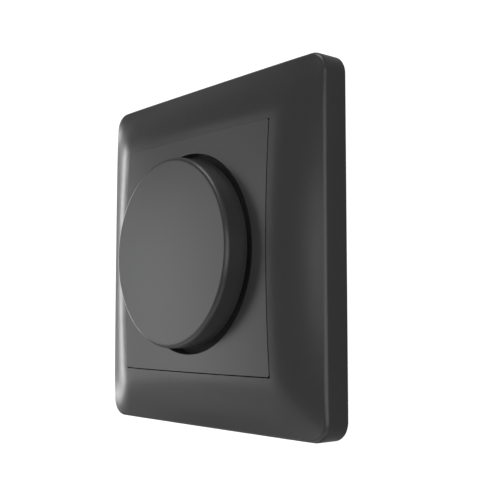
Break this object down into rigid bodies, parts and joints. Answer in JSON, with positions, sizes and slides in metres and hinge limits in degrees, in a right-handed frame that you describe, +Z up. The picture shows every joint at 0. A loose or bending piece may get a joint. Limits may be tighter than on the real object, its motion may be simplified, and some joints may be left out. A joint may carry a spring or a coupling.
{
  "type": "rotary wall dimmer",
  "caption": "Rotary wall dimmer: square crowned frame and plate with a plain turn-and-push knob, over a wall-box insert with support plate, potentiometer and screw terminals.",
  "frame": {"origin": "on the turning axis, in the plane of the wall that the frame and support plate lie on", "axes": "+Z up, +X to the right seen from the room, +Y into the wall, so the knob faces -Y"},
  "size_m": [0.0812, 0.0475, 0.0812],
  "materials": {
    "anthracite_frame": "satin, smooth moulded",
    "anthracite_plate": "satin, smooth moulded",
    "anthracite_knob": "satin, smooth moulded",
    "housing_plastic": "fine matt",
    "zinc_plated_steel": "bright zinc plate",
    "spring_steel": "bright drawn",
    "brass": "bare turned",
    "bronze_strip": "bare rolled",
    "tinned_copper": "tin plate",
    "board_laminate": "solder resist",
    "phenolic": "carbon printed",
    "black_thermoset": "moulded",
    "white_acetal": "moulded",
    "ferrite": "sintered",
    "enamelled_copper": "enamelled wire",
    "yellow_film": "moulded box",
    "aluminium_can": "drawn",
    "aluminium_sheet": "sheared",
    "fuse_glass": "clear tube"
  },
  "bodies": {
    "base": {"outer_frame": "anthracite_frame", "centre_plate": "anthracite_plate", "plate_nut": "brass", "pot_bush": "brass", "support_plate": "zinc_plated_steel", "module_cover": "housing_plastic", "rear_housing": "housing_plastic", "housing_screws": "zinc_plated_steel", "circuit_board": "board_laminate", "pot_housing": "black_thermoset", "resistance_track": "phenolic", "pot_legs": "tinned_copper", "switch_housing": "black_thermoset", "switch_spring": "spring_steel", "choke_core": "ferrite", "choke_winding": "enamelled_copper", "film_capacitor": "yellow_film", "smoothing_capacitor": "aluminium_can", "heat_sink": "aluminium_sheet", "power_transistor": "black_thermoset", "transistor_screw": "zinc_plated_steel", "fuse_tube": "fuse_glass", "fuse_caps": "tinned_copper", "fuse_clips": "bronze_strip", "control_chip": "black_thermoset", "terminal_clamps": "brass", "terminal_screws": "zinc_plated_steel"},
    "rotor": {"wiper_rotor": "white_acetal", "wiper_contact": "bronze_strip"},
    "knob": {"knob_cap": "anthracite_knob", "knob_grip_spring": "spring_steel", "pot_shaft": "spring_steel", "shaft_circlip": "spring_steel"},
    "plunger": {"switch_plunger": "white_acetal"}
  },
  "joints": [
    {"name": "dimmer_turn", "type": "hinge", "parent": "base", "child": "rotor", "pos_m": [0, 0, 0], "axis": [0, 1, 0], "range_deg": [-135, 135]},
    {"name": "knob_push", "type": "slide", "parent": "rotor", "child": "knob", "axis": [0, 1, 0], "range_m": [0, 0.0015], "stiffness_N_per_m": 1000, "springref_m": -0.002},
    {"name": "plunger_push", "type": "slide", "parent": "base", "child": "plunger", "axis": [0, 1, 0], "range_m": [0, 0.0015], "deforming": ["switch_spring"]}
  ],
  "couplings": [
    {"joint": "plunger_push", "follows": "knob_push", "ratio": 1}
  ]
}
